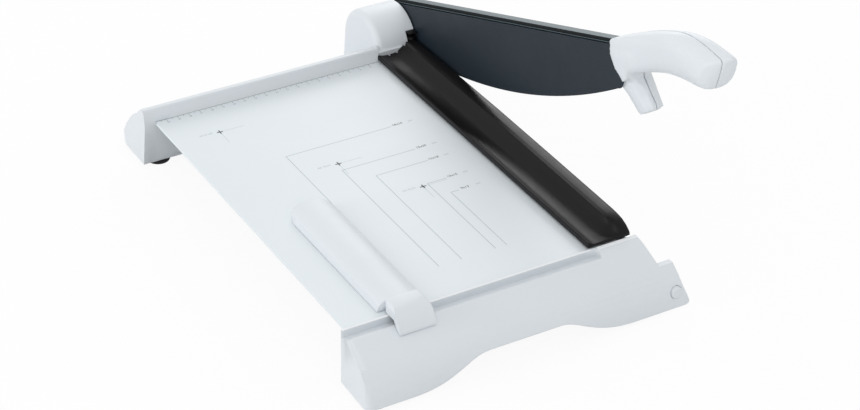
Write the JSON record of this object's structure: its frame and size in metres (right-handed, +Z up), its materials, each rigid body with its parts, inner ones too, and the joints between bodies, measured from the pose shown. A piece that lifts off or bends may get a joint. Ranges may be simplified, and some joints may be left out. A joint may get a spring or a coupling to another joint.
{
  "type": "paper cutter",
  "caption": "Lever guillotine for paper: flat table with a back fence, curved blade on a hinged arm with a hooked handle, clamp bar along the cut and a sliding paper stop.",
  "frame": {"origin": "centre of the rear right foot's sole, on the floor under the pivot axis", "axes": "+Z up; +X to the right, across the table towards the cut; -Y towards the user, along the cut"},
  "size_m": [0.288, 0.4808, 0.2418],
  "materials": {
    "white_plastic": "satin",
    "table_coat": "satin",
    "black_plastic": "satin",
    "dark_steel": "satin",
    "cast_arm": "satin",
    "ground_steel": "ground",
    "zinc": "zinc plated",
    "bronze": "sintered",
    "rubber": "matte"
  },
  "bodies": {
    "frame": {"table_plate": "table_coat", "table_brace_1": "zinc", "table_brace_2": "zinc", "side_beam": "zinc", "lower_knife": "ground_steel", "knife_screw_1": "zinc", "knife_screw_2": "zinc", "knife_screw_3": "zinc", "knife_screw_4": "zinc", "rear_housing": "white_plastic", "pivot_cover": "white_plastic", "pivot_bracket": "zinc", "bracket_screw_1": "zinc", "bracket_screw_2": "zinc", "pivot_bush": "bronze", "friction_washer": "rubber", "disc_spring": "ground_steel", "lock_nut": "zinc", "pivot_bolt": "ground_steel", "front_panel": "white_plastic", "panel_plug": "white_plastic", "panel_screw": "zinc", "foot_rear_left": "rubber", "foot_rear_right": "rubber", "foot_front_left": "rubber", "foot_front_right": "rubber"},
    "arm": {"blade": "dark_steel", "blade_arm": "cast_arm", "blade_screw_1": "zinc", "blade_screw_2": "zinc", "blade_screw_3": "zinc", "blade_screw_4": "zinc", "pivot_cap": "black_plastic", "handle_left": "white_plastic", "handle_right": "white_plastic", "handle_screw_1": "zinc", "handle_screw_2": "zinc"},
    "clamp": {"clamp_bar": "black_plastic", "clamp_strip": "rubber", "clamp_pin_rear": "ground_steel", "clamp_pin_front": "ground_steel"},
    "stop": {"stop_bar": "white_plastic", "stop_head": "white_plastic", "stop_slider": "rubber", "stop_screw": "zinc"}
  },
  "joints": [
    {"name": "arm_hinge", "type": "hinge", "parent": "frame", "child": "arm", "pos_m": [0.02, 0, 0.0481], "axis": [-1, 0, 0], "range_deg": [-20, 38]},
    {"name": "clamp_slide", "type": "slide", "parent": "frame", "child": "clamp", "axis": [0, 0, 1], "range_m": [-0.00175, 0.0034]},
    {"name": "stop_slide", "type": "slide", "parent": "frame", "child": "stop", "axis": [1, 0, 0], "range_m": [-0.028, 0.138]}
  ],
  "couplings": [
    {"joint": "clamp_slide", "follows": "arm_hinge", "m_per_rad": 0.004927}
  ]
}
